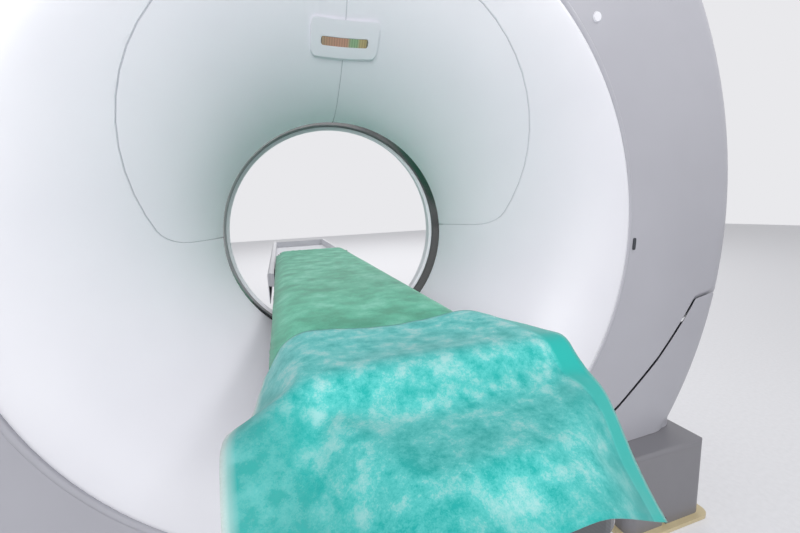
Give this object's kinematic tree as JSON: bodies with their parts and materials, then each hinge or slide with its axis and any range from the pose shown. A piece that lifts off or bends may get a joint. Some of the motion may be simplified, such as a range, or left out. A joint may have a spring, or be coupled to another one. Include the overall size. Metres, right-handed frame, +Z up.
{
  "type": "ct scanner",
  "caption": "Computed tomography scanner: a round tilting gantry with a flared white bore, a spinning source and detector inside, and a lifting, sliding patient couch with a draped head rest.",
  "frame": {"origin": "on the floor, straight under the middle of the bore at the scan plane", "axes": "+X across the gantry, to the right seen from the head end; +Y along the bore from the head end towards the couch; +Z up"},
  "size_m": [2.3998, 3.982, 2.15],
  "materials": {
    "white_moulding": "satin painted moulding",
    "grey_moulding": "satin painted moulding",
    "window_film": "dark glossy film",
    "display_lens": "tinted lens over coloured lamps",
    "control_black": "fine-textured moulding",
    "stop_red": "gloss",
    "painted_steel": "powder coat",
    "cream_steel": "enamel",
    "bearing_steel": "ground",
    "cast_alloy": "as cast and machined",
    "bronze": "turned bronze",
    "copper_winding": "lacquered winding",
    "dark_housing": "powder coat",
    "circuit_board": "lacquered board",
    "rubber_black": "matt",
    "carbon_laminate": "lacquered fibre laminate",
    "pad_vinyl": "grained vinyl",
    "drape_cloth": "thin bonded nonwoven"
  },
  "bodies": {
    "base": {"floor_plate": "cream_steel", "base_frame": "painted_steel", "levelling_feet": "bearing_steel", "yoke_left": "painted_steel", "yoke_right": "painted_steel", "pivot_bushes": "bronze", "tilt_gear_motor": "dark_housing", "base_cover_left": "grey_moulding", "base_cover_right": "grey_moulding", "skirt_front": "grey_moulding", "skirt_back": "grey_moulding", "pedestal_covers": "grey_moulding", "cable_duct": "rubber_black", "couch_base_plate": "painted_steel", "couch_cover_lower": "white_moulding", "lift_column_outer": "painted_steel"},
    "tilting_gantry": {"tilt_frame": "painted_steel", "pivot_pins": "bearing_steel", "bearing_outer_race": "bearing_steel", "bearing_balls": "bearing_steel", "drive_stator": "copper_winding", "brush_block": "control_black", "cover_posts": "painted_steel", "shroud_front": "grey_moulding", "shroud_back": "grey_moulding", "disc_lower_cover": "white_moulding", "disc_panel_left": "white_moulding", "disc_panel_right": "white_moulding", "display_housing": "white_moulding", "display_lens": "display_lens", "couch_side_disc": "white_moulding", "control_panels": "control_black", "scan_window": "window_film", "shroud_caps": "white_moulding", "cover_latches": "control_black"},
    "rotor": {"rotor_plate": "cast_alloy", "bearing_inner_race": "bearing_steel", "drive_magnets": "bearing_steel", "slip_ring": "bronze", "xray_tube": "cast_alloy", "collimator": "dark_housing", "detector": "dark_housing", "detector_electronics": "circuit_board", "hv_generator": "painted_steel", "heat_exchanger": "cast_alloy", "counterweight": "painted_steel"},
    "stop_left": {"e_stop_left": "stop_red"},
    "stop_right": {"e_stop_right": "stop_red"},
    "lift_stage": {"lift_column_middle": "bearing_steel", "couch_cover_middle": "white_moulding"},
    "couch_top": {"lift_column_inner": "painted_steel", "couch_cover_upper": "white_moulding", "couch_frame": "painted_steel", "couch_top_cover": "white_moulding"},
    "cradle_body": {"cradle": "carbon_laminate", "mattress": "pad_vinyl", "couch_sheet": "drape_cloth", "head_cushion": "pad_vinyl", "head_drape": "drape_cloth"}
  },
  "joints": [
    {"name": "gantry_tilt", "type": "hinge", "parent": "base", "child": "tilting_gantry", "pos_m": [0, 0, 0.95], "axis": [1, 0, 0], "range_deg": [-22, 22]},
    {"name": "rotor_spin", "type": "hinge", "parent": "tilting_gantry", "child": "rotor", "pos_m": [0, 0, 0.95], "axis": [0, 1, 0], "continuous": true},
    {"name": "stop_left_press", "type": "slide", "parent": "tilting_gantry", "child": "stop_left", "axis": [0, -1, 0], "range_m": [0, 0.006], "stiffness_N_per_m": 1500, "springref_m": -0.001},
    {"name": "stop_right_press", "type": "slide", "parent": "tilting_gantry", "child": "stop_right", "axis": [0, -1, 0], "range_m": [0, 0.006], "stiffness_N_per_m": 1500, "springref_m": -0.001},
    {"name": "couch_lift", "type": "slide", "parent": "base", "child": "couch_top", "axis": [0, 0, 1], "range_m": [0, 0.1]},
    {"name": "lift_stage_slide", "type": "slide", "parent": "base", "child": "lift_stage", "axis": [0, 0, 1], "range_m": [0, 0.05]},
    {"name": "cradle_slide", "type": "slide", "parent": "couch_top", "child": "cradle_body", "axis": [0, 1, 0], "range_m": [-0.1, 1.55]}
  ],
  "couplings": [
    {"joint": "lift_stage_slide", "follows": "couch_lift", "ratio": 0.5}
  ]
}
